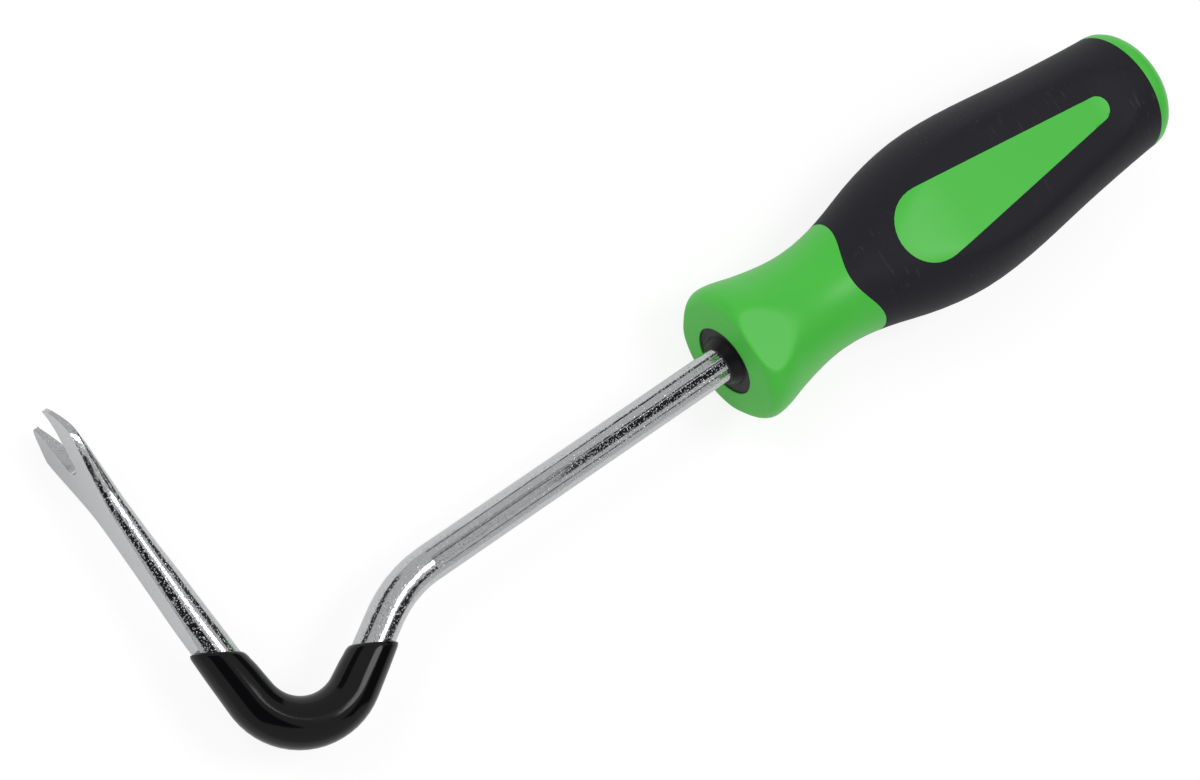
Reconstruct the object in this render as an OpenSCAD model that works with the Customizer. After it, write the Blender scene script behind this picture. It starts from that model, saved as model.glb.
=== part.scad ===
// Trim removal tool: a bent steel bar with a forged fork, a dipped vinyl sleeve and a two-colour handle.
// The tool's own frame has its origin where the bar leaves the handle. X runs along the bar away from it,
// the bar bends in the X-Y plane, and Z leaves the broad side of the handle. The whole tool is then laid
// down on its handle and its lower fork tip, as it comes to rest on a bench.

/* [Bar] */
// Diameter of the round steel bar
rod_d = 8.15; // [6:0.05:10]
// Straight length from the handle's nose to the first bend
neck_len = 83.1; // [60:0.1:120]
// Angle of the first, gentle bend
first_bend = 31.4; // [15:0.2:45]
// Radius of the first bend at the bar's middle
first_bend_r = 27; // [15:0.5:40]
// Straight length between the two bends
reach_len = 16.3; // [12:0.1:30]
// Angle of the hook bend
hook_bend = 117.5; // [95:0.5:130]
// Radius of the hook bend at the bar's middle
hook_bend_r = 12.8; // [10:0.1:20]
// Length of the leg from the hook bend to the fork tips
leg_len = 72; // [60:1:95]
// Length of the tang inside the handle
tang_len = 98; // [85:1:110]
// Width over the two forged wings of the tang
wing_w = 13; // [10:0.5:15]
// Thickness of the wings
wing_t = 2.6; // [2:0.1:4]
// Length of the wings
wing_len = 15; // [10:1:25]

/* [Fork] */
// Width over the two tines
fork_w = 19.2; // [14:0.2:24]
// Turn of the forged flat about the leg
fork_turn = 10.8; // [0:0.2:12]
// Slope of the forged flat, as a drop for each millimetre
flat_slope = 0.066; // [0.04:0.001:0.08]
// Radius of the scoop that thins the flat towards the tips
scoop_r = 1500; // [400:50:3000]
// Thickness of a tine at its tip
tip_t = 0.5; // [0.4:0.1:1.2]
// Depth of the notch
notch_depth = 14; // [9:0.2:18]
// Radius at the root of the notch
notch_root_r = 2.2; // [1.5:0.1:3]
// Half the angle between the sides of the notch
notch_half_angle = 12; // [4:1:16]
// Length over which a tine's outer side draws in to its tip
tine_end_len = 10.5; // [6:0.5:13]
// How much shorter the lower tine is
tine_short = 1.4; // [0:0.1:2]

/* [Dipped sleeve] */
// Thickness of the vinyl in the middle of the hook
coat_t = 1.5; // [1:0.05:2.5]
// Thickness of the vinyl next to its two ends
coat_end_t = 0.85; // [0.6:0.05:1.5]
// Slope of the dip line across the hook
dip_angle = 30; // [20:1:40]
// Distance of the dip line from the middle of the hook bend, towards the handle's axis
dip_rise = 2.5; // [0:0.1:4]
// Length over which the vinyl rounds off to its edge
lip_len = 1.8; // [0.8:0.1:3]

/* [Handle] */
// Largest diameter of the nose flange
nose_d = 33.2; // [30:0.2:36]
// Distance of that diameter behind the nose
nose_at = 3.5; // [2.5:0.1:5]
// Diameter of the waist
waist_d = 25.8; // [24:0.2:28]
// Distance of the waist behind the nose
waist_at = 26.5; // [22:0.5:30]
// Diameter of the swell
swell_d = 40.7; // [38:0.2:44]
// Distance of the swell behind the nose
swell_at = 70; // [66:1:76]
// Diameter where the grip ends
butt_d = 30.9; // [29:0.1:34]
// Distance of the grip's end behind the nose
butt_at = 124.3; // [118:0.1:130]
// Height of the domed butt
dome_h = 7.3; // [5:0.1:15]
// Straight rim in front of the dome
dome_rim = 1; // [0.5:0.1:3]
// Distance of a nose facet from the axis
facet_h = 14.5; // [13.5:0.1:15.5]
// Distance of a broad flat from the axis at its start behind the swell
pad_h = 16.1; // [15:0.1:17.5]
// Slope of a broad flat towards the butt
pad_slope = 0.044; // [0.03:0.002:0.06]
// Radius of the flat's curve down to the waist
pad_front_r = 100; // [80:5:140]
// Radius of the curves with which the flat leaves the surface at both ends
pad_fade_r = 32; // [25:1:45]

/* [Grip and windows] */
// Thickness of the soft grip
grip_t = 2.6; // [1.8:0.1:3.4]
// Distance of the grip's front edge behind the nose, on the sides
grip_front = 37.2; // [34:0.1:40]
// How far the grip's tongue runs forwards on the broad sides
tongue_len = 6.3; // [2:0.1:7]
// Half the width of that tongue
tongue_half = 16; // [9:0.5:18]
// Radius of the window's round end
window_big_r = 9; // [7:0.1:10]
// Distance of that end's middle behind the nose
window_big_at = 54.3; // [50:0.5:60]
// Radius of the window's small end
window_small_r = 3.1; // [2:0.1:5]
// Distance of that end's middle behind the nose
window_small_at = 109; // [95:1:113]

/* [Core sleeve] */
// Diameter of the hard core round the tang
core_d = 17.1; // [15:0.1:18]
// Depth of the core's front face in the nose
core_recess = 0.3; // [0.2:0.1:1.5]
// Diameter of the small collar round the bar, at its foot
collar_d = 12.4; // [11:0.1:14]
// Height of the collar over the core's front face
collar_h = 2.2; // [0.5:0.1:3]
// Height of the core's ribs, which stop it turning
rib_h = 1.6; // [0.8:0.1:2.2]
// Width of a rib
rib_w = 3; // [2:0.5:4]

/* [At rest] */
// Roll of the tool about its handle until the fork tips touch
rest_roll = 5.7; // [0:0.1:20]
// Dip of the bar's end as the handle lies on its swell and flange
rest_dip = 0.6; // [0:0.1:5]

/* [Hidden] */
$fn = 96;

steel = "#b9bbbe";
vinyl = "#17171a";
core_black = "#1c1c20";
body_green = "#50b84d";
grip_black = "#24242a";

rod_r = rod_d / 2;
bent_r = rod_r - 0.01;
overlap = 1;
reach_far = 60;

// The fork's section: where it starts, and how it spreads and thins along the leg
upset = 0.13;
upset_len = 12;
flat_start = 5;
forge_start = 15;
back_start = 29;
taper_len = 37;
taper_spread = 0.8;
flare_start = 46;
flare_len = 21;
square_start = 31;
square_len = 38;
round_power = 2;
square_power = 8;
thin_power = 1.5;
flat_crown = 1.1;
round_flat = 0.01;
ring_step = 2.5;
back_points = 42;
tine_power = 1.5;
tine_blunt = 0.35;

// The bends and the vinyl edge
arc_step = 6;
lip_edge = 0.3;
lip_steps = 4;
level_len = 5;

// The core sleeve
core_end = tang_len + 6;
collar_lip = 0.8;
rib_start = 12;
rib_count = 4;
wing_at = 72;

// The handle's outline
shoulder_at = 12;
shoulder_slope = 0.225;
hip_at = 46;
hip_share = 0.47;
hip_slope = 0.3;
taper_at = 98;
taper_share = 0.49;
taper_slope = 0.115;
butt_slope = 0.07;
nose_edge = 2.6;
facet_count = 3;
facet_len = 16;
outline_steps = 6;
pad_start = 63;
pad_fade_front = 40;
pad_fade_back = 108;
pad_exit_front = 33;
pad_exit_back = 121;
pad_step = 2;
seam_turn = 50;
nose_cone = 0.3;
tongue_steps = 24;
window_steps = 20;

function smooth(x) = let (c = min(1, max(0, x))) c * c * (3 - 2 * c);

first_end = neck_len + first_bend_r * first_bend * PI / 180;
reach_end = first_end + reach_len;
hook_end = reach_end + hook_bend_r * hook_bend * PI / 180;
leg_heading = first_bend - hook_bend;

function ahead(angle) = [cos(angle), sin(angle)];
function left(angle) = [-sin(angle), cos(angle)];

// Heading of the bar's middle at distance s from the nose, and the place of that middle
function heading(s) =
    s <= neck_len ? 0
    : s <= first_end ? (s - neck_len) / first_bend_r * 180 / PI
    : s <= reach_end ? first_bend
    : s <= hook_end ? first_bend - (s - reach_end) / hook_bend_r * 180 / PI
    : leg_heading;

function middle(s) =
    s <= neck_len ? [s, 0]
    : s <= first_end ? [neck_len, first_bend_r] - first_bend_r * left(heading(s))
    : s <= reach_end ? middle(first_end) + (s - first_end) * ahead(first_bend)
    : s <= hook_end ? hook_middle() + hook_bend_r * left(heading(s))
    : middle(hook_end) + (s - hook_end) * ahead(leg_heading);

function hook_middle() = middle(reach_end) - hook_bend_r * left(first_bend);

// Places a section, given as [along, left, up] offsets, at distance s
function placed(s, points) = [
    for (p = points)
    let (q = middle(s) + p[0] * ahead(heading(s)) + p[1] * left(heading(s)))
    [q[0], q[1], p[2]]
];

// A closed solid through sections that all have the same number of points
module loft(rings) {
    n = len(rings[0]);
    last = len(rings) - 1;
    walls = [
        for (k = [0 : last - 1])
        for (i = [0 : n - 1])
        let (j = (i + 1) % n)
        each [
            [k * n + i, (k + 1) * n + j, k * n + j],
            [k * n + i, (k + 1) * n + i, (k + 1) * n + j]
        ]
    ];
    polyhedron(
        [for (ring = rings) for (p = ring) p],
        concat([[for (i = [0 : n - 1]) i]], walls, [[for (i = [n - 1 : -1 : 0]) last * n + i]])
    );
}

// Radius of the bar at distance u along the leg, which the forging has upset a little
function leg_r(u) = bent_r + upset * min(1, u / upset_len);

// Half the width of the forged bar there
function half_w(u) =
    leg_r(u)
    + taper_spread * pow(min(1, max(0, (u - forge_start) / taper_len)), 2)
    + (fork_w / 2 - rod_r - upset - taper_spread) * smooth((u - flare_start) / flare_len);

// Height of the flat over the leg's middle
function flat_h(u) =
    leg_r(u)
    - max(round_flat, flat_slope * (u - flat_start))
    - pow(max(0, u - flare_start), 2) / (2 * scoop_r);

// Depth of the rounded back under the leg's middle
function back_h(u) =
    leg_r(u)
    - (leg_r(u) + flat_h(leg_len) - tip_t)
    * pow(max(0, (u - back_start) / (leg_len - back_start)), thin_power);

// Section of the bar at distance u along the leg: the flat's two edges and the rounded back between them
function section(u) =
    let (
        top = flat_h(u) + min(flat_crown, leg_r(u) - flat_h(u)),
        rise = (top - back_h(u)) / 2,
        half = (top + back_h(u)) / 2,
        power = round_power + (square_power - round_power) * smooth((u - square_start) / square_len),
        edge = asin(pow((flat_h(u) - rise) / half, power / 2))
    )
    [
        for (i = [0 : back_points])
        let (
            a = edge - i * (180 + 2 * edge) / back_points,
            across = half_w(u) * sign(cos(a)) * pow(abs(cos(a)), 2 / power),
            up = rise + half * sign(sin(a)) * pow(abs(sin(a)), 2 / power)
        )
        [0, up * cos(fork_turn) - across * sin(fork_turn), up * sin(fork_turn) + across * cos(fork_turn)]
    ];

module bar_loft() {
    stations = concat(
        [neck_len - 2 * overlap],
        [for (a = [0 : arc_step : first_bend]) neck_len + first_bend_r * a * PI / 180],
        [first_end, reach_end],
        [for (a = [arc_step : arc_step : hook_bend]) reach_end + hook_bend_r * a * PI / 180],
        [hook_end],
        [for (u = [forge_start : ring_step : leg_len]) hook_end + u],
        [hook_end + leg_len]
    );
    loft([for (s = stations) placed(s, section(max(0, s - hook_end)))]);
}

// Moves its children to the fork, with the leg along X and the flat facing Z
module at_fork() {
    translate([middle(hook_end)[0], middle(hook_end)[1], 0])
        rotate([0, 0, leg_heading])
            rotate([fork_turn - 90, 0, 0])
                children();
}

function notch_half(u) = notch_root_r / cos(notch_half_angle) + (u - root_at) * tan(notch_half_angle);

root_at = leg_len - notch_depth + notch_root_r;

// The notch between the tines, cut through the flat
module notch() {
    translate([root_at, 0, -rod_d]) cylinder(r = notch_root_r, h = 2 * rod_d);
    translate([0, 0, -rod_d])
        linear_extrude(2 * rod_d)
            polygon([
                for (side = [1, -1])
                for (u = side > 0 ? [root_at, leg_len + overlap] : [leg_len + overlap, root_at])
                [u, side * notch_half(u)]
            ]);
}

// What draws the outer side of a tine in to its tip: side is 1 for the lower tine and -1 for the upper one
module beyond_tine(side) {
    end = leg_len - (side > 0 ? tine_short : 0);
    inner = notch_half(end) + tine_blunt;
    translate([0, 0, -rod_d])
        linear_extrude(2 * rod_d)
            polygon(concat(
                [
                    for (a = [0 : 9 : 90])
                    [
                        end - tine_end_len * (1 - pow(sin(a), 2 / tine_power)),
                        side * (inner + (fork_w / 2 - inner) * pow(cos(a), 2 / tine_power))
                    ]
                ],
                [
                    [end, 0],
                    [leg_len + overlap, 0],
                    [leg_len + overlap, side * fork_w],
                    [end - tine_end_len, side * fork_w]
                ]
            ));
}

module straight(r, from, to) {
    translate([from, 0, 0]) rotate([0, 90, 0]) cylinder(r = r, h = to - from);
}

module tang_wings() {
    translate([-wing_at - wing_len, -wing_w / 2, -wing_t / 2]) cube([wing_len, wing_w, wing_t]);
}

module bar_in_handle() {
    straight(rod_r, -tang_len, overlap);
    tang_wings();
}

module bent_bar() {
    straight(rod_r, -tang_len, neck_len);
    tang_wings();
    difference() {
        bar_loft();
        at_fork() notch();
        at_fork() beyond_tine(1);
        at_fork() beyond_tine(-1);
    }
}

// Across-slope of the dip line for a bar with this heading, and the places where the line crosses the bar
function dip_shear(angle) = left(angle) * left(-dip_angle) / (ahead(angle) * left(-dip_angle));

function dip_from(s, angle) =
    s - (dip_rise + hook_bend_r * left(angle) * left(-dip_angle)) / (ahead(angle) * left(-dip_angle));

dip_on_reach = dip_from(reach_end, first_bend);
dip_on_leg = dip_from(hook_end, leg_heading);

// One ring of vinyl: it leans with the dip line by the share lean, and is moved along the bar
function vinyl_ring(s, r, lean, along) =
    placed(s, [
        for (i = [0 : back_points])
        let (a = i * 360 / (back_points + 1))
        [along - lean * dip_shear(heading(s)) * r * cos(a), r * cos(a), r * sin(a)]
    ]);

// Outer radius of the vinyl at distance s, which is thickest in the middle of the hook
function coat_r(s) =
    rod_r
    + coat_end_t
    + (coat_t - coat_end_t) * sin(180 * (s - dip_on_reach) / (dip_on_leg - dip_on_reach));

function lip_r(a) = rod_r + lip_edge + (coat_end_t - lip_edge) * sin(a);

module vinyl_loft() {
    loft(concat(
        [
            for (i = [0 : lip_steps])
            let (a = 90 * i / lip_steps)
            vinyl_ring(dip_on_reach, lip_r(a), 1, lip_len * (1 - cos(a)))
        ],
        [vinyl_ring(dip_on_reach, coat_r(dip_on_reach + level_len), 0.5, level_len)],
        [vinyl_ring(reach_end, coat_r(reach_end), 0, 0)],
        [
            for (a = [arc_step : arc_step : hook_bend - 1])
            let (s = reach_end + hook_bend_r * a * PI / 180)
            vinyl_ring(s, coat_r(s), 0, 0)
        ],
        [vinyl_ring(hook_end, coat_r(hook_end), 0, 0)],
        [vinyl_ring(dip_on_leg, coat_r(dip_on_leg - level_len), 0.5, -level_len)],
        [
            for (i = [lip_steps : -1 : 0])
            let (a = 90 * i / lip_steps)
            vinyl_ring(dip_on_leg, lip_r(a), 1, -lip_len * (1 - cos(a)))
        ]
    ));
}

// Radius between two stations [distance, radius, slope], by a cubic that keeps both slopes
function between(a, b, t) =
    let (span = b[0] - a[0])
    (2 * pow(t, 3) - 3 * pow(t, 2) + 1) * a[1]
    + (pow(t, 3) - 2 * pow(t, 2) + t) * span * a[2]
    + (3 * pow(t, 2) - 2 * pow(t, 3)) * b[1]
    + (pow(t, 3) - pow(t, 2)) * span * b[2];

stations = [
    [nose_at, nose_d / 2, 0],
    [shoulder_at, waist_d / 2 + 0.53 * (nose_d - waist_d) / 2, -shoulder_slope],
    [waist_at, waist_d / 2, 0],
    [hip_at, waist_d / 2 + hip_share * (swell_d - waist_d) / 2, hip_slope],
    [swell_at, swell_d / 2, 0],
    [taper_at, butt_d / 2 + taper_share * (swell_d - butt_d) / 2, -taper_slope],
    [butt_at, butt_d / 2, -butt_slope]
];

function outline() = [
    for (k = [0 : len(stations) - 2])
    for (i = [0 : outline_steps - 1])
    let (t = i / outline_steps)
    [
        stations[k][0] + t * (stations[k + 1][0] - stations[k][0]),
        between(stations[k], stations[k + 1], t)
    ]
];

// A solid turned about the handle's axis from points [distance behind the nose, radius]
module turned(points) {
    rotate([0, -90, 0])
        rotate([0, 0, seam_turn])
            rotate_extrude()
                polygon([for (p = points) [p[1], p[0]]]);
}

module turned_handle() {
    dome_at = butt_at + dome_rim;
    turned(concat(
        [[0, 0], [0, core_d / 2 + overlap]],
        [
            for (a = [0 : 15 : 75])
            [nose_cone + (nose_at - nose_cone) * (1 - cos(a)), nose_d / 2 - nose_edge * (1 - sin(a))]
        ],
        outline(),
        [[butt_at, butt_d / 2], [dome_at, butt_d / 2]],
        [for (a = [10 : 10 : 80]) [dome_at + dome_h * sin(a), butt_d / 2 * cos(a)]],
        [[dome_at + dome_h, 0]]
    ));
}

// Height of the broad flat over the axis at distance d behind the nose
function flat_line(d) =
    pad_h
    - pad_slope * (d - pad_start)
    - pow(max(0, pad_start - d), 2) / (2 * pad_front_r)
    + pow(max(0, pad_fade_front - d), 2) / (2 * pad_fade_r)
    + pow(max(0, d - pad_fade_back), 2) / (2 * pad_fade_r);

// What the two broad flats take off the turned handle, or off the wall that lies deeper under the grip
module beyond_flats(deeper) {
    for (side = [0, 1])
        mirror([0, 0, side])
            translate([0, reach_far, 0])
                rotate([90, 0, 0])
                    linear_extrude(2 * reach_far)
                        polygon(concat(
                            [
                                for (d = [pad_exit_front : pad_step : pad_exit_back])
                                [-d, flat_line(d) - deeper]
                            ],
                            [[-pad_exit_back, swell_d], [-pad_exit_front, swell_d]]
                        ));
}

module nose_facets() {
    for (i = [0 : facet_count - 1])
        rotate([i * 360 / facet_count, 0, 0])
            translate([-facet_len, -nose_d, facet_h])
                cube([facet_len + overlap, 2 * nose_d, nose_d]);
}

module handle_form() {
    difference() {
        turned_handle();
        nose_facets();
        beyond_flats(0);
    }
}

// The grip's zone, as seen on the broad side: a tongue forwards, then straight back to the butt
module grip_zone() {
    translate([0, 0, -reach_far])
        linear_extrude(2 * reach_far)
            polygon(concat(
                [
                    for (i = [0 : tongue_steps])
                    let (y = tongue_half * (2 * i / tongue_steps - 1))
                    [-grip_front + tongue_len * pow(cos(90 * y / tongue_half), 2), y]
                ],
                [
                    [-grip_front, reach_far],
                    [-butt_at, reach_far],
                    [-butt_at, -reach_far],
                    [-grip_front, -reach_far]
                ]
            ));
}

// The teardrop window, cut through both broad sides
module window() {
    lean = asin((window_big_r - window_small_r) / (window_small_at - window_big_at));
    translate([0, 0, -reach_far])
        linear_extrude(2 * reach_far)
            polygon(concat(
                [
                    for (i = [0 : window_steps])
                    let (a = 90 + lean - i * (180 + 2 * lean) / window_steps)
                    [-window_big_at + window_big_r * cos(a), window_big_r * sin(a)]
                ],
                [
                    for (i = [0 : window_steps])
                    let (a = -90 - lean - i * (180 - 2 * lean) / window_steps)
                    [-window_small_at + window_small_r * cos(a), window_small_r * sin(a)]
                ]
            ));
}

// The hard wall under the grip
module under_grip() {
    front = grip_front - tongue_len - overlap;
    difference() {
        turned(concat(
            [[front, 0], [front, waist_d / 2 - grip_t]],
            [for (p = outline()) if (p[0] > front + overlap) [p[0], p[1] - grip_t]],
            [[butt_at + overlap, butt_d / 2 - grip_t], [butt_at + overlap, 0]]
        ));
        beyond_flats(grip_t);
    }
}

module core_form() {
    straight(core_d / 2, -core_end, -core_recess);
    translate([-core_recess, 0, 0])
        rotate([0, 90, 0])
            cylinder(r1 = collar_d / 2, r2 = rod_r + collar_lip, h = collar_h);
    for (i = [0 : rib_count - 1])
        rotate([i * 360 / rib_count, 0, 0])
            translate([-core_end, -rib_w / 2, 0])
                cube([core_end - rib_start, rib_w, core_d / 2 + rib_h]);
}

module at_rest() {
    rotate([0, rest_dip, 0]) rotate([rest_roll, 0, 0]) children();
}

module shaft() {
    color(steel) at_rest() bent_bar();
}

module fulcrum_coat() {
    color(vinyl)
        at_rest()
            difference() {
                vinyl_loft();
                bar_loft();
            }
}

module core_sleeve() {
    color(core_black)
        at_rest()
            difference() {
                core_form();
                bar_in_handle();
            }
}

module handle_body() {
    color(body_green)
        at_rest()
            difference() {
                union() {
                    difference() {
                        handle_form();
                        grip_zone();
                    }
                    under_grip();
                    intersection() {
                        handle_form();
                        window();
                    }
                }
                core_form();
                straight(core_d / 2, -core_recess - overlap, overlap);
            }
}

module grip() {
    color(grip_black)
        at_rest()
            difference() {
                intersection() {
                    handle_form();
                    grip_zone();
                }
                under_grip();
                window();
            }
}

shaft();
fulcrum_coat();
core_sleeve();
handle_body();
grip();
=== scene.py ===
# %% [markdown]
# # A trim removal tool, dressed for its portrait
#
# The tool is a bent steel bar with a forged fork, a black vinyl sleeve on its hook bend and a moulded
# handle in green and black. Its sizes and places come from the construction model, which loads here
# as a fixed frame. This lesson gives each piece its finished surface, lights it like a product on a
# white table, and looks at it from the photographer's place.

import math

import bmesh
import bpy
from mathutils import Matrix, Vector


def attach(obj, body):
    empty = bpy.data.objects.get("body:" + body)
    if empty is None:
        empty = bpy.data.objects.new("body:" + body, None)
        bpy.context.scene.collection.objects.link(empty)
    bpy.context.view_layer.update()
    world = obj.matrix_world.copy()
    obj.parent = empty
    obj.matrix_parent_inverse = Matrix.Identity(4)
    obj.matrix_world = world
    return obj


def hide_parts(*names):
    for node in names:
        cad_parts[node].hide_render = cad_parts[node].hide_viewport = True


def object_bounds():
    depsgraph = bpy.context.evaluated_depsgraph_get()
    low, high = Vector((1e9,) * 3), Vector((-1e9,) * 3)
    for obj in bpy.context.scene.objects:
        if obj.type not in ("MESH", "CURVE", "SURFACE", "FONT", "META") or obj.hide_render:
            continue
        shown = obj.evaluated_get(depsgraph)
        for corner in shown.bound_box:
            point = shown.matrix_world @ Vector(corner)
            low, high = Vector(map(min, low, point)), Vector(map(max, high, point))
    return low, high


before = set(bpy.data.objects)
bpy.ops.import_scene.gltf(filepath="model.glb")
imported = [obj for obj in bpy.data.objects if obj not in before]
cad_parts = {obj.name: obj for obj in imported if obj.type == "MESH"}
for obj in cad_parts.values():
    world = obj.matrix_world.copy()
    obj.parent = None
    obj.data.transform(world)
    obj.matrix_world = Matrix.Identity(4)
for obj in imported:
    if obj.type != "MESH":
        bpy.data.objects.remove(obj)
cad_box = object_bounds()
print("nodes:", sorted(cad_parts))
print("box in metres:", cad_box)

# %% [markdown]
# The tool lies on the table in the pose in which it comes to rest. Its own frame, in which it is
# easiest to think about it, has X along the bar and Z out of the broad side of the handle. Two small
# angles lead from that frame to the table's.

# %% The tool's own frame
MM = 0.001
REST_ROLL = 5.7
REST_DIP = 0.6
at_rest = Matrix.Rotation(math.radians(REST_DIP), 4, "Y") @ Matrix.Rotation(math.radians(REST_ROLL), 4, "X")


def on_tool(x, y, z):
    """A point given in the tool's own frame, in millimetres."""
    return at_rest @ Vector((x * MM, y * MM, z * MM))


def along_tool(x, y, z):
    """A direction given in the tool's own frame."""
    return (at_rest.to_3x3() @ Vector((x, y, z))).normalized()


# %% [markdown]
# ## The camera
#
# The photograph was taken from close by, so the handle's butt, which is nearer, looks larger than it
# would from afar. The camera's place, its heading and a lens of 81 mm on a 36 mm sensor were found
# from the bends of the bar and the round butt. The camera looks down on the table.

# %% Place the camera
camera_data = bpy.data.cameras.new("portrait")
camera_data.lens = 81.0
camera_data.sensor_width = 36.0
camera_data.clip_end = 20.0
camera = bpy.data.objects.new("portrait", camera_data)
bpy.context.scene.collection.objects.link(camera)
bpy.context.scene.camera = camera

camera_right = along_tool(-0.7680, 0.5505, 0.3279)
camera_up = along_tool(-0.5172, -0.8347, 0.1900)
camera_back = along_tool(0.3782, -0.0236, 0.9258)
camera_place = on_tool(251.70, -24.08, 545.65)
turn = Matrix((camera_right, camera_up, camera_back)).transposed().to_4x4()
camera.matrix_world = Matrix.Translation(camera_place) @ turn
print("camera stands at", [round(v, 3) for v in camera_place])


TOOL_MIDDLE = on_tool(20, 0, 0)


def seen_from_camera(right, up, back):
    """A place round the tool, in metres, counted along the camera's own directions from the tool's middle."""
    return TOOL_MIDDLE + right * camera_right + up * camera_up + back * camera_back


# %% [markdown]
# ## The table and the light
#
# The background is a white table top. Its shader is part diffuse, so that it takes the tool's soft
# shadow, and part plain white. The camera sees mostly the plain white, and mirror-like rays see less
# of it, because the real bar shows its table as a light grey. More light would whiten the table too,
# but it would also bleach the tool.

# %% Colour and node helpers
def linear(hex_colour):
    """An sRGB hex colour as the linear values that shaders use."""
    channels = [int(hex_colour[i:i + 2], 16) / 255 for i in (1, 3, 5)]
    return [c / 12.92 if c <= 0.04045 else ((c + 0.055) / 1.055) ** 2.4 for c in channels] + [1.0]


def new_material(name):
    """A material with an empty node tree."""
    material = bpy.data.materials.new(name)
    material.use_nodes = True
    material.node_tree.nodes.clear()
    return material


def add_node(tree, kind, settings=None, values=None, links=None):
    """Adds one node: its settings, its unlinked values and the sockets that feed it."""
    node = tree.nodes.new(kind)
    for key, value in (settings or {}).items():
        setattr(node, key, value)
    for key, value in (values or {}).items():
        node.inputs[key].default_value = value
    for key, socket in (links or {}).items():
        tree.links.new(socket, node.inputs[key])
    return node


# %% Lay the table
TABLE_SIZE = 6.0
SEEN_WHITE = 0.76
MIRRORED_WHITE = 0.15
GLOW = 1.07
table_top = cad_box[0][2]
bpy.ops.object.select_all(action="DESELECT")
bpy.ops.mesh.primitive_plane_add(size=TABLE_SIZE, location=(0, 0, table_top))
table = bpy.context.object
table.name = "table"

table_white = new_material("white laminate")
tree = table_white.node_tree
path = add_node(tree, "ShaderNodeLightPath")
seen = add_node(
    tree, "ShaderNodeMath", {"operation": "MULTIPLY"}, {1: SEEN_WHITE},
    {0: path.outputs["Is Camera Ray"]},
)
mirrored = add_node(
    tree, "ShaderNodeMath", {"operation": "MAXIMUM"},
    links={0: path.outputs["Is Glossy Ray"], 1: path.outputs["Is Transmission Ray"]},
)
share = add_node(
    tree, "ShaderNodeMath", {"operation": "MULTIPLY_ADD"}, {1: MIRRORED_WHITE},
    {0: mirrored.outputs[0], 2: seen.outputs[0]},
)
matt = add_node(tree, "ShaderNodeBsdfDiffuse", values={"Color": linear("#f4f4f4")})
glow = add_node(tree, "ShaderNodeEmission", values={"Color": (1, 1, 1, 1), "Strength": GLOW})
mixed = add_node(
    tree, "ShaderNodeMixShader",
    links={0: share.outputs[0], 1: matt.outputs[0], 2: glow.outputs[0]},
)
add_node(tree, "ShaderNodeOutputMaterial", links={"Surface": mixed.outputs[0]})
table.data.materials.append(table_white)
print("table top at", round(table_top, 4), "m")

# %% [markdown]
# The room is a plain pale grey, and white where the camera sees it. Each band along the photographed
# bar mirrors one part of its room, so the lamps were first placed along the mirror directions of those
# bands, and then moved by trial until the bands here lay as they do there. A softbox to the right of
# the camera and a little above it draws the long white streak. A second one, on the upper left, brings
# out the colours and throws the soft shadow, but no mirror-like ray sees it.

# %% Light the room
ROOM = 0.64
world = bpy.data.worlds.new("studio")
bpy.context.scene.world = world
world.use_nodes = True
tree = world.node_tree
tree.nodes.clear()
path = add_node(tree, "ShaderNodeLightPath")
room = add_node(tree, "ShaderNodeBackground", values={"Color": (1, 1, 1, 1), "Strength": ROOM})
backdrop = add_node(tree, "ShaderNodeBackground", values={"Color": (1, 1, 1, 1), "Strength": 1.0})
mixed = add_node(
    tree, "ShaderNodeMixShader",
    links={0: path.outputs["Is Camera Ray"], 1: room.outputs[0], 2: backdrop.outputs[0]},
)
add_node(tree, "ShaderNodeOutputWorld", links={"Surface": mixed.outputs[0]})


def face_the_tool(thing, place):
    """Stands a lamp or a card at a place and turns its back, +Z, away from the tool."""
    thing.location = place
    thing.rotation_euler = (place - TOOL_MIDDLE).to_track_quat("Z", "Y").to_euler()


def softbox(name, place, width, height, power):
    """A rectangular lamp, its sides in metres and its power in watts."""
    data = bpy.data.lights.new(name, "AREA")
    data.shape = "RECTANGLE"
    data.size = width
    data.size_y = height
    data.energy = power
    lamp = bpy.data.objects.new(name, data)
    bpy.context.scene.collection.objects.link(lamp)
    face_the_tool(lamp, place)
    return lamp


softbox("streak softbox", seen_from_camera(0.67, 0.24, 0.71), 0.38, 0.36, 2.3)
fill = softbox("fill softbox", seen_from_camera(-0.40, 0.55, 1.15), 0.6, 0.6, 4.0)
fill.visible_glossy = False

# %% [markdown]
# Bright steel only looks like steel when it has something dark to mirror. A dark room would do, but
# it would darken the handle too. Dark cards do the same for the bar alone, because only mirror-like
# rays see them: one behind the camera, three along the right and one on the upper left.

# %% Hang the dark cards
def dark_card(name, place, width, height, level):
    """A card of the given sides in metres, with a level from 0, black, to 1, white."""
    bpy.ops.object.select_all(action="DESELECT")
    bpy.ops.mesh.primitive_plane_add(size=1.0)
    card = bpy.context.object
    card.name = name
    card.scale = (width, height, 1)
    face_the_tool(card, place)
    card.visible_camera = False
    card.visible_diffuse = False
    card.visible_shadow = False
    cloth = new_material(name + " cloth")
    tree = cloth.node_tree
    dull = add_node(tree, "ShaderNodeEmission", values={"Color": (1, 1, 1, 1), "Strength": level})
    add_node(tree, "ShaderNodeOutputMaterial", links={"Surface": dull.outputs[0]})
    card.data.materials.append(cloth)


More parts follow.
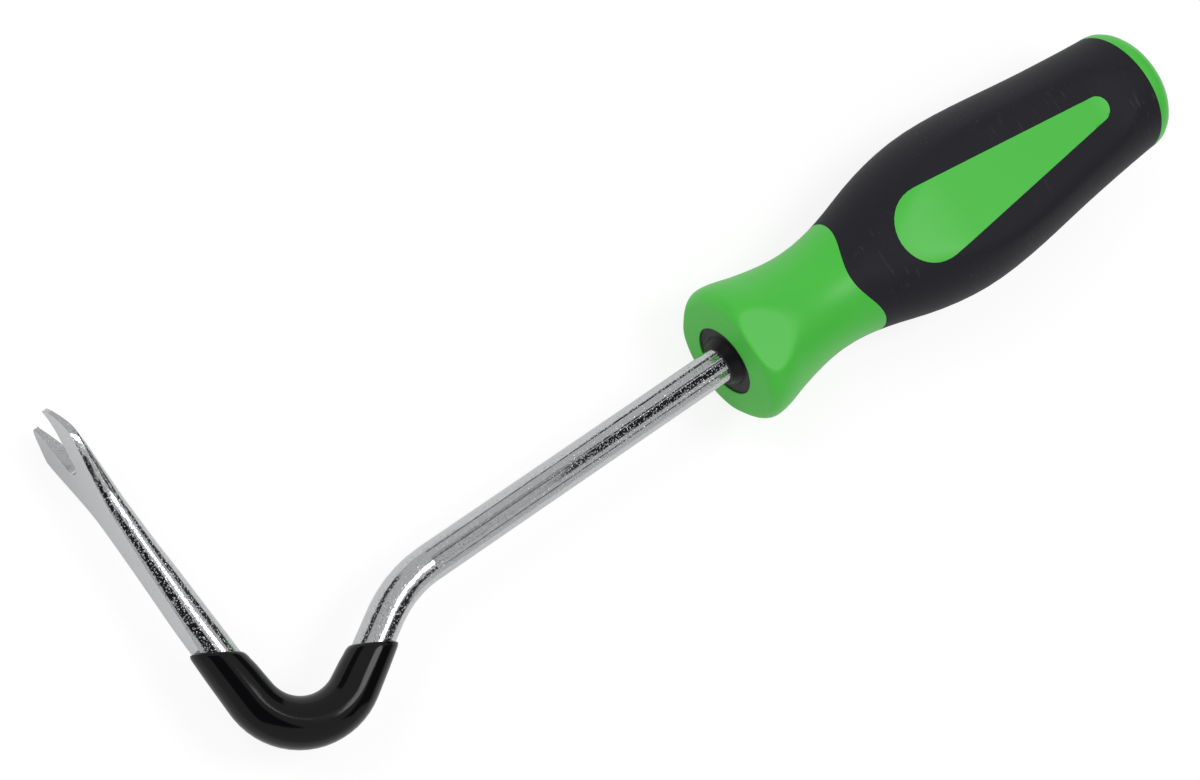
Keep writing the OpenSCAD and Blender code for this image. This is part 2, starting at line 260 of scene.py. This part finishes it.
dark_card("card behind camera", seen_from_camera(-0.06, -0.1, 0.95), 0.86, 0.8, 0.02)
dark_card("card on the lower right", seen_from_camera(0.95, -0.3, 0.47), 0.36, 0.36, 0.03)
dark_card("card on the right", seen_from_camera(1.15, -0.1, 0.2), 0.7, 1.0, 0.03)
dark_card("card on the upper right", seen_from_camera(0.95, 0.68, -0.15), 0.85, 0.85, 0.05)
dark_card("card on the upper left", seen_from_camera(-0.8, 0.8, 0.5), 0.7, 0.7, 0.06)

# %% [markdown]
# ## Finishes
#
# The bar is nickel-plated carbon steel. The plating is bright, but the drawn and blasted steel under
# it leaves a fine grain of shallow pits, about 0.4 mm apart, with smooth plating between them. The rim
# of each pit turns the mirror image a little, so the borders between light and dark bands break up
# into a speckle. More roughness would only blur those borders, so the grain is a bump. A Map Range
# keeps just the peaks of a noise for it. They stand up where real pits go down, which looks the same.

# %% Plated steel
GRAIN = 0.38 * MM
plated_steel = new_material("nickel-plated steel")
tree = plated_steel.node_tree
where = add_node(tree, "ShaderNodeTexCoord")
grain = add_node(
    tree, "ShaderNodeTexNoise", values={"Scale": 1 / GRAIN, "Detail": 0.6, "Roughness": 0.5},
    links={"Vector": where.outputs["Object"]},
)
pits = add_node(
    tree, "ShaderNodeMapRange", {"interpolation_type": "SMOOTHSTEP"}, {"From Min": 0.56, "From Max": 0.74},
    {"Value": grain.outputs["Fac"]},
)
cloud = add_node(
    tree, "ShaderNodeTexNoise", values={"Scale": 1 / (5 * MM), "Detail": 2.0},
    links={"Vector": where.outputs["Object"]},
)
relief = add_node(
    tree, "ShaderNodeBump", values={"Strength": 1.0, "Distance": 0.045 * MM},
    links={"Height": pits.outputs[0]},
)
rough = add_node(
    tree, "ShaderNodeMapRange", values={"From Min": 0.3, "From Max": 0.7, "To Min": 0.08, "To Max": 0.13},
    links={"Value": cloud.outputs["Fac"]},
)
shader = add_node(
    tree, "ShaderNodeBsdfPrincipled",
    values={"Base Color": linear("#c5c6c8"), "Metallic": 1.0},
    links={"Roughness": rough.outputs[0], "Normal": relief.outputs[0]},
)
add_node(tree, "ShaderNodeOutputMaterial", links={"Surface": shader.outputs[0]})
print("made", plated_steel.name, "with a grain of", round(GRAIN / MM, 2), "mm")

# %% [markdown]
# The sleeve is plastisol, vinyl that the hot bar was dipped in. It cures to a smooth, glossy black
# skin. A quite even skin would mirror the room like glass, so a faint swell, 6 mm from wave to wave,
# stands for the way the vinyl ran before it set.

# %% Dipped vinyl
dipped_vinyl = new_material("dipped vinyl")
tree = dipped_vinyl.node_tree
where = add_node(tree, "ShaderNodeTexCoord")
flow = add_node(
    tree, "ShaderNodeTexNoise", values={"Scale": 1 / (6 * MM), "Detail": 1.0},
    links={"Vector": where.outputs["Object"]},
)
relief = add_node(
    tree, "ShaderNodeBump", values={"Strength": 0.25, "Distance": 0.15 * MM},
    links={"Height": flow.outputs["Fac"]},
)
shader = add_node(
    tree, "ShaderNodeBsdfPrincipled",
    values={"Base Color": linear("#0a0a0c"), "Roughness": 0.11, "IOR": 1.53, "Specular IOR Level": 0.22},
    links={"Normal": relief.outputs[0]},
)
add_node(tree, "ShaderNodeOutputMaterial", links={"Surface": shader.outputs[0]})
print("made", dipped_vinyl.name)

# %% [markdown]
# The hard parts of the handle are injection-moulded. The green one has a fine satin tool finish,
# drawn at 0.5 mm, which is coarser than such a finish is, so that it shows at all. It is a bump and
# not a second colour, because only the light breaks up on it. The core is a plain satin black,
# because so little of it is seen.

# %% Moulded plastics
handle_green = new_material("green acetate")
tree = handle_green.node_tree
where = add_node(tree, "ShaderNodeTexCoord")
satin = add_node(
    tree, "ShaderNodeTexNoise", values={"Scale": 1 / (0.5 * MM), "Detail": 2.0},
    links={"Vector": where.outputs["Object"]},
)
relief = add_node(
    tree, "ShaderNodeBump", values={"Strength": 0.12, "Distance": 0.02 * MM},
    links={"Height": satin.outputs["Fac"]},
)
shader = add_node(
    tree, "ShaderNodeBsdfPrincipled",
    values={"Base Color": linear("#44b93c"), "Roughness": 0.38, "IOR": 1.48, "Specular IOR Level": 0.4},
    links={"Normal": relief.outputs[0]},
)
add_node(tree, "ShaderNodeOutputMaterial", links={"Surface": shader.outputs[0]})

core_black = new_material("black nylon")
tree = core_black.node_tree
shader = add_node(
    tree, "ShaderNodeBsdfPrincipled",
    values={"Base Color": linear("#0f0f12"), "Roughness": 0.38, "IOR": 1.53, "Specular IOR Level": 0.2},
)
add_node(tree, "ShaderNodeOutputMaterial", links={"Surface": shader.outputs[0]})
print("made", handle_green.name, "and", core_black.name)

# %% [markdown]
# The grip is a soft thermoplastic rubber, moulded over the hard body in a spark-eroded tool. Its skin
# is a fine matt grain, drawn at 0.4 mm, coarser than such a skin is, so that it shows. Handling has
# left a few faint pale scuffs that run across the handle. They are a noise stretched across it, kept
# where a second and wider noise is high, so that they come in patches. A Mapping node stretches first
# and turns afterwards, so the turn here only picks another part of the noise.

# %% Soft grip
grip_rubber = new_material("moulded soft grip")
tree = grip_rubber.node_tree
where = add_node(tree, "ShaderNodeTexCoord")
skin = add_node(
    tree, "ShaderNodeTexNoise", values={"Scale": 1 / (0.4 * MM), "Detail": 2.0},
    links={"Vector": where.outputs["Object"]},
)
along = add_node(
    tree, "ShaderNodeMapping",
    values={"Rotation": (0, 0, math.radians(35)), "Scale": (1, 0.12, 1)},
    links={"Vector": where.outputs["Object"]},
)
rubbed = add_node(
    tree, "ShaderNodeTexNoise", values={"Scale": 1 / (0.8 * MM), "Detail": 3.0},
    links={"Vector": along.outputs[0]},
)
patches = add_node(
    tree, "ShaderNodeTexNoise", values={"Scale": 1 / (16 * MM), "Detail": 1.0},
    links={"Vector": where.outputs["Object"]},
)
lines = add_node(
    tree, "ShaderNodeMapRange", values={"From Min": 0.6, "From Max": 0.78},
    links={"Value": rubbed.outputs["Fac"]},
)
worn = add_node(
    tree, "ShaderNodeMapRange", values={"From Min": 0.48, "From Max": 0.7},
    links={"Value": patches.outputs["Fac"]},
)
scuffs = add_node(
    tree, "ShaderNodeMath", {"operation": "MULTIPLY"},
    links={0: lines.outputs[0], 1: worn.outputs[0]},
)
colour = add_node(
    tree, "ShaderNodeMix", {"data_type": "RGBA"},
    {"A": linear("#242429"), "B": linear("#3c3c42")}, {"Factor": scuffs.outputs[0]},
)
relief = add_node(
    tree, "ShaderNodeBump", values={"Strength": 0.35, "Distance": 0.03 * MM},
    links={"Height": skin.outputs["Fac"]},
)
shader = add_node(
    tree, "ShaderNodeBsdfPrincipled",
    values={"Roughness": 0.5, "IOR": 1.5, "Specular IOR Level": 0.08},
    links={"Base Color": colour.outputs["Result"], "Normal": relief.outputs[0]},
)
add_node(tree, "ShaderNodeOutputMaterial", links={"Surface": shader.outputs[0]})
print("made", grip_rubber.name)

# %% [markdown]
# ## The pieces
#
# A construction node arrives as loose triangles. A copy of it, with its corners merged, can be shaded
# smoothly where the surface is round and kept crisp where it has a real edge.

# %% Copy a node as a smooth piece
MERGE_WITHIN = 0.002 * MM


def smooth_copy(node, name, material, crease=30):
    """A merged copy of a node, kept crisp along edges sharper than the crease angle, in degrees."""
    bpy.ops.object.select_all(action="DESELECT")
    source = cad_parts[node]
    source.select_set(True)
    bpy.context.view_layer.objects.active = source
    bpy.ops.object.duplicate()
    piece = bpy.context.object
    piece.name = name
    piece.data.name = name
    bpy.ops.mesh.customdata_custom_splitnormals_clear()
    bpy.ops.object.mode_set(mode="EDIT")
    bpy.ops.mesh.select_all(action="SELECT")
    bpy.ops.mesh.remove_doubles(threshold=MERGE_WITHIN)
    bpy.ops.object.mode_set(mode="OBJECT")
    bpy.ops.object.shade_smooth_by_angle(angle=math.radians(crease))
    piece.data.materials.clear()
    piece.data.materials.append(material)
    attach(piece, "root")
    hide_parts(node)
    print(name, "has", len(piece.data.polygons), "faces")
    return piece


# %% [markdown]
# The sleeve needs no more than that, and the bar nothing more until its fork is shaped below. The
# moulded edges of the core's rim and collar are a little round. A bevel rounds them, after the flat
# faces have been joined, so that it doesn't follow the lines between their triangles.

# %% Bar, sleeve and core
bar = smooth_copy("shaft", "bar", plated_steel, crease=25)
smooth_copy("fulcrum_coat", "sleeve", dipped_vinyl, crease=40)
core = smooth_copy("core_sleeve", "core", core_black)
bpy.ops.object.mode_set(mode="EDIT")
bpy.ops.mesh.select_all(action="SELECT")
bpy.ops.mesh.dissolve_limited(angle_limit=math.radians(0.5))
bpy.ops.object.mode_set(mode="OBJECT")
rim = core.modifiers.new("rim", "BEVEL")
rim.width = 0.45 * MM
rim.segments = 3
rim.limit_method = "ANGLE"
rim.angle_limit = math.radians(40)
bpy.ops.object.modifier_apply(modifier="rim")
bpy.ops.object.shade_smooth_by_angle(angle=math.radians(50))

# %% [markdown]
# ## The forged back
#
# The construction gives the back of the fork a boxy section. On the real bar the light streak narrows
# towards the fork, as if it ran over a rounder back, so this step makes it rounder and a little
# deeper. Both amounts were chosen, because the back itself faces away from the camera. The
# section is a superellipse, whose power says how boxy it is. Each corner of the mesh moves from the
# boxy curve to the rounder one, at its own place along the leg. All lengths here are in millimetres,
# and places along the leg count from where the hook bend ends.

# %% Clean up a changed mesh
TOGETHER = 0.004 * MM


def clean_up(mesh):
    """Merges the corners that a move brought together, and drops the faces without area between them."""
    bmesh.ops.remove_doubles(mesh, verts=mesh.verts, dist=TOGETHER)
    bmesh.ops.dissolve_degenerate(mesh, edges=mesh.edges, dist=TOGETHER)


# %% The section of the leg and the fork
LEG_START = (130.519, 2.392)
LEG_HEADING = -86.1
LEG_LEN = 72.0
LEG_R = 4.195
FORK_TURN = 10.8
SWELL = 0.8
SWELL_FROM = 15
SWELL_OVER = 37
FLARE = 4.595
FLARE_FROM = 46
FLARE_OVER = 21
FLAT_SLOPE = 0.066
FLAT_FROM = 5
FLAT_HOLLOW = 3000
CROWN = 1.1
THIN_FROM = 29
THIN_POWER = 1.5
TIP_THICKNESS = 0.5


def smooth_step(x):
    """Rises smoothly from 0 to 1 as x does."""
    x = min(1.0, max(0.0, x))
    return x * x * (3 - 2 * x)


def fork_flat(u):
    """Height of the flat over the leg's axis at distance u."""
    return LEG_R - FLAT_SLOPE * (u - FLAT_FROM) - max(0, u - FLARE_FROM) ** 2 / FLAT_HOLLOW


def fork_section(u):
    """Half the width, the top of the full curve and the depth of the back at distance u."""
    swell = SWELL * min(1, max(0, (u - SWELL_FROM) / SWELL_OVER)) ** 2
    half_width = LEG_R + swell + FLARE * smooth_step((u - FLARE_FROM) / FLARE_OVER)
    flat = fork_flat(u)
    thinned = max(0, (u - THIN_FROM) / (LEG_LEN - THIN_FROM)) ** THIN_POWER
    back = LEG_R - (LEG_R + fork_flat(LEG_LEN) - TIP_THICKNESS) * thinned
    return half_width, flat + min(CROWN, LEG_R - flat), back


# %% Round the back of the fork
BOXY = 8.0
ROUNDER = 2.8
BOXY_FROM = 31
BOXY_OVER = 38
DEEPER = 0.8
DEEPER_FROM = 33
DEEPER_OVER = 22
DEEPER_FADE = 8
ON_CURVE = 0.08
ROUND_FROM = 31.5
BESIDE_LEG = 15
HAIR = 0.01


def rounder(u, across, up):
    """Where a corner on the boxy curve goes, or None for one that isn't on it."""
    half_width, top, back = fork_section(u)
    middle = (top - back) / 2
    half = (top + back) / 2
    share = smooth_step((u - BOXY_FROM) / BOXY_OVER)
    power = 2 + (BOXY - 2) * share
    x = abs(across) / half_width
    y = (up - middle) / half
    if abs((x ** power + abs(y) ** power) ** (1 / power) - 1) * min(half, half_width) > ON_CURVE:
        return None
    fade = smooth_step((u - DEEPER_FROM) / DEEPER_OVER) * smooth_step((LEG_LEN - u) / DEEPER_FADE)
    full_back = back + DEEPER * fade
    new_middle = (top - full_back) / 2
    new_half = (top + full_back) / 2
    power = 2 + (ROUNDER - 2) * share
    if y > 0:
        new_y = min(1, abs(up - new_middle) / new_half)
        return math.copysign(half_width * (1 - new_y ** power) ** (1 / power), across), up
    return across, new_middle - new_half * (1 - min(1, x) ** power) ** (1 / power)


def to_tool(point):
    """A point of the scene in the tool's own frame, in millimetres."""
    return (at_rest.inverted() @ point) / MM


heading = math.radians(LEG_HEADING)
ahead = Vector((math.cos(heading), math.sin(heading), 0))
left = Vector((-math.sin(heading), math.cos(heading), 0))
turn_cos = math.cos(math.radians(FORK_TURN))
turn_sin = math.sin(math.radians(FORK_TURN))
moved = 0
for vertex in bar.data.vertices:
    place = to_tool(vertex.co) - Vector((*LEG_START, 0))
    u = place.dot(ahead)
    side = place.dot(left)
    if not ROUND_FROM < u < LEG_LEN + HAIR or abs(side) > BESIDE_LEG:
        continue
    up = side * turn_cos + place.z * turn_sin
    across = place.z * turn_cos - side * turn_sin
    new_place = rounder(u, across, up)
    if new_place is None:
        continue
    across, up = new_place
    spot = u * ahead + (up * turn_cos - across * turn_sin) * left
    vertex.co = on_tool(spot.x + LEG_START[0], spot.y + LEG_START[1], up * turn_sin + across * turn_cos)
    moved += 1
print("corners moved on the fork's back:", moved)
mesh = bmesh.new()
mesh.from_mesh(bar.data)
clean_up(mesh)
mesh.to_mesh(bar.data)
mesh.free()

# %% [markdown]
# ## Soft edges on the handle
#
# The construction cuts three facets into the nose and a broad flat into each side, with sharp edges.
# On the real moulding these edges run out softly: a short round on the facets and a wide one along
# the flats. The handle's outline is worked out here again from its stations, so that the code knows
# how high the round surface lies over each point, and where a facet or a flat cuts it.

# %% The handle's outline
NOSE_R = 16.6
NOSE_EDGE = 2.6
NOSE_AT = 3.5
NOSE_CONE = 0.3
STATIONS = (
    (3.5, 16.6, 0.0),
    (12.0, 14.861, -0.225),
    (26.5, 12.9, 0.0),
    (46.0, 16.4015, 0.3),
    (70.0, 20.35, 0.0),
    (98.0, 17.851, -0.115),
    (124.3, 15.45, -0.07),
)
STEPS_BETWEEN = 6
NOSE_STEP = 15


def between(start, end, t):
    """The radius between two stations, by a cubic that keeps both slopes."""
    span = end[0] - start[0]
    return (
        (2 * t ** 3 - 3 * t ** 2 + 1) * start[1]
        + (t ** 3 - 2 * t ** 2 + t) * span * start[2]
        + (3 * t ** 2 - 2 * t ** 3) * end[1]
        + (t ** 3 - t ** 2) * span * end[2]
    )


outline = []
for degrees in range(0, 90, NOSE_STEP):
    a = math.radians(degrees)
    place = NOSE_CONE + (NOSE_AT - NOSE_CONE) * (1 - math.cos(a))
    outline.append((place, NOSE_R - NOSE_EDGE * (1 - math.sin(a))))
for start, end in zip(STATIONS, STATIONS[1:]):
    for step in range(STEPS_BETWEEN):
        t = step / STEPS_BETWEEN
        outline.append((start[0] + t * (end[0] - start[0]), between(start, end, t)))
outline.append(STATIONS[-1][:2])


def round_radius(d):
    """Radius of the turned surface at distance d behind the nose, in millimetres."""
    for (d0, r0), (d1, r1) in zip(outline, outline[1:]):
        if d0 <= d <= d1:
            return r0 + (r1 - r0) * (d - d0) / (d1 - d0)
    return 0.0


print("radius at the waist", round(round_radius(26.5), 2), "and at the swell", round(round_radius(70), 2))


PAD_AT = 63
PAD_HEIGHT = 16.1
PAD_SLOPE = 0.044
PAD_DROP = 200
RUN_OUT_FRONT = 40
RUN_OUT_BACK = 108
RUN_OUT = 64


def flat_height(d):
    """Height of a broad flat over the axis at distance d behind the nose."""
    return (
        PAD_HEIGHT
        - PAD_SLOPE * (d - PAD_AT)
        - max(0, PAD_AT - d) ** 2 / PAD_DROP
        + max(0, RUN_OUT_FRONT - d) ** 2 / RUN_OUT
        + max(0, d - RUN_OUT_BACK) ** 2 / RUN_OUT
    )


# %% [markdown]
# A rounded minimum blends two heights: away from the edge it is simply the lower one, and near the
# edge it dips under both by up to a quarter of the blend's reach. Moving the corners of the mesh to
# that height turns the sharp edge into a soft one. The mesh needs corners there first, so it is cut
# by rows of parallel planes.

# %% Blend a cut edge
FACET_BLEND = 0.6
FLAT_BLEND = 1.7
FACET_HEIGHT = 14.5
FACET_TURNS = (0, 120, 240)
FACETS_TO = 16
FLATS_FROM = 33
FLATS_TO = 121
FADE_FRONT = 8
FADE_BACK = 10
LEAST_REACH = 0.05
SAME = 0.06
SNAP = 1e-7


def rounded_min(a, b, reach):
    """The lower of two heights, and a little less where they are within reach of each other."""
    near = max(reach - abs(a - b), 0) / reach
    return min(a, b) - near * near * reach / 4


def cut_rows(mesh, direction, places, wanted):
    """Cuts the wanted faces by planes across a direction of the tool, at places in millimetres."""
    normal = along_tool(*direction)
    faces = [f for f in mesh.faces if wanted(to_tool(f.calc_center_median()))]
    parts = faces + list({v for f in faces for v in f.verts}) + list({e for f in faces for e in f.edges})
    for place in places:
        on_plane = normal * place * MM
        cut = bmesh.ops.bisect_plane(mesh, geom=parts, dist=SNAP, plane_co=on_plane, plane_no=normal)
        parts = cut["geom"]


def steps(start, end, step):
    """Evenly spaced places from start to end, with both ends."""
    return [start + i * step for i in range(int(round((end - start) / step)) + 1)]


def soften(x, y, z):
    """Where a point of the handle's skin goes, with every point in the tool's frame and in millimetres."""
    d = -x
    r = round_radius(d)
    for turn in FACET_TURNS if d < FACETS_TO else ():
        c = math.cos(math.radians(turn))
        s = math.sin(math.radians(turn))
        across = y * c + z * s
        height = z * c - y * s
        skin = math.sqrt(max(0, r * r - across * across))
        if abs(height - min(skin, FACET_HEIGHT)) < SAME:
            height = rounded_min(skin, FACET_HEIGHT, FACET_BLEND)
            y, z = across * c - height * s, across * s + height * c
    if FLATS_FROM < d < FLATS_TO:
        skin = math.sqrt(max(0, r * r - y * y))
        fade_in = FLAT_BLEND * smooth_step((d - FLATS_FROM) / FADE_FRONT)
        reach = fade_in * smooth_step((FLATS_TO - d) / FADE_BACK)
        if reach > LEAST_REACH and abs(abs(z) - min(skin, flat_height(d))) < SAME:
            z = math.copysign(rounded_min(skin, flat_height(d), reach), z)
    return x, y, z


# %% Soften a whole skin
ABOVE_AXIS = 9
SKIN_DEPTH = 5
NOSE_LENGTH = 15
NOSE_SKIN_FROM = 12.5
ROWS_ALONG_FLATS = steps(-120, -34, 2)
ROWS_ACROSS_FLATS = steps(-15.4, 15.4, 0.7)
ROWS_ALONG_NOSE = steps(-14, -0.7, 0.7)
ROWS_ACROSS_FACET = steps(-9, 9, 0.75)
LEAST_MOVE = 0.001


def on_flat(p):
    """Whether a point of the tool lies in the skin round a broad flat."""
    deep = math.hypot(p.y, p.z) > round_radius(-p.x) - SKIN_DEPTH
    return FLATS_FROM < -p.x < FLATS_TO and abs(p.z) > ABOVE_AXIS and deep


def on_nose(p):
    """Whether a point of the tool lies in the skin of the nose."""
    return -p.x < NOSE_LENGTH and math.hypot(p.y, p.z) > NOSE_SKIN_FROM


def soften_skin(piece, facets):
    """Cuts a piece of the handle into rows, moves its skin to the soft shape and cleans it up."""
    mesh = bmesh.new()
    mesh.from_mesh(piece.data)
    cut_rows(mesh, (1, 0, 0), ROWS_ALONG_FLATS, on_flat)
    cut_rows(mesh, (0, 1, 0), ROWS_ACROSS_FLATS, on_flat)
    if facets:
        cut_rows(mesh, (1, 0, 0), ROWS_ALONG_NOSE, on_nose)
        for turn in FACET_TURNS:
            a = math.radians(turn)
            cut_rows(mesh, (0, math.cos(a), math.sin(a)), ROWS_ACROSS_FACET, on_nose)
    moved = 0
    for vertex in mesh.verts:
        place = to_tool(vertex.co)
        new_place = soften(*place)
        if (Vector(new_place) - place).length > LEAST_MOVE:
            vertex.co = on_tool(*new_place)
            moved += 1
    clean_up(mesh)
    mesh.to_mesh(piece.data)
    mesh.free()
    print(piece.name, "has", moved, "corners moved and", len(piece.data.polygons), "faces")


# %% Green body and grip
green_body = smooth_copy("handle_body", "green_body", handle_green, crease=20)
soften_skin(green_body, True)
soft_grip = smooth_copy("grip", "soft_grip", grip_rubber, crease=20)
soften_skin(soft_grip, False)

# %% [markdown]
# The Standard view shows each colour as it is written.

# %% Keep the true colours and finish
bpy.context.scene.view_settings.view_transform = "Standard"
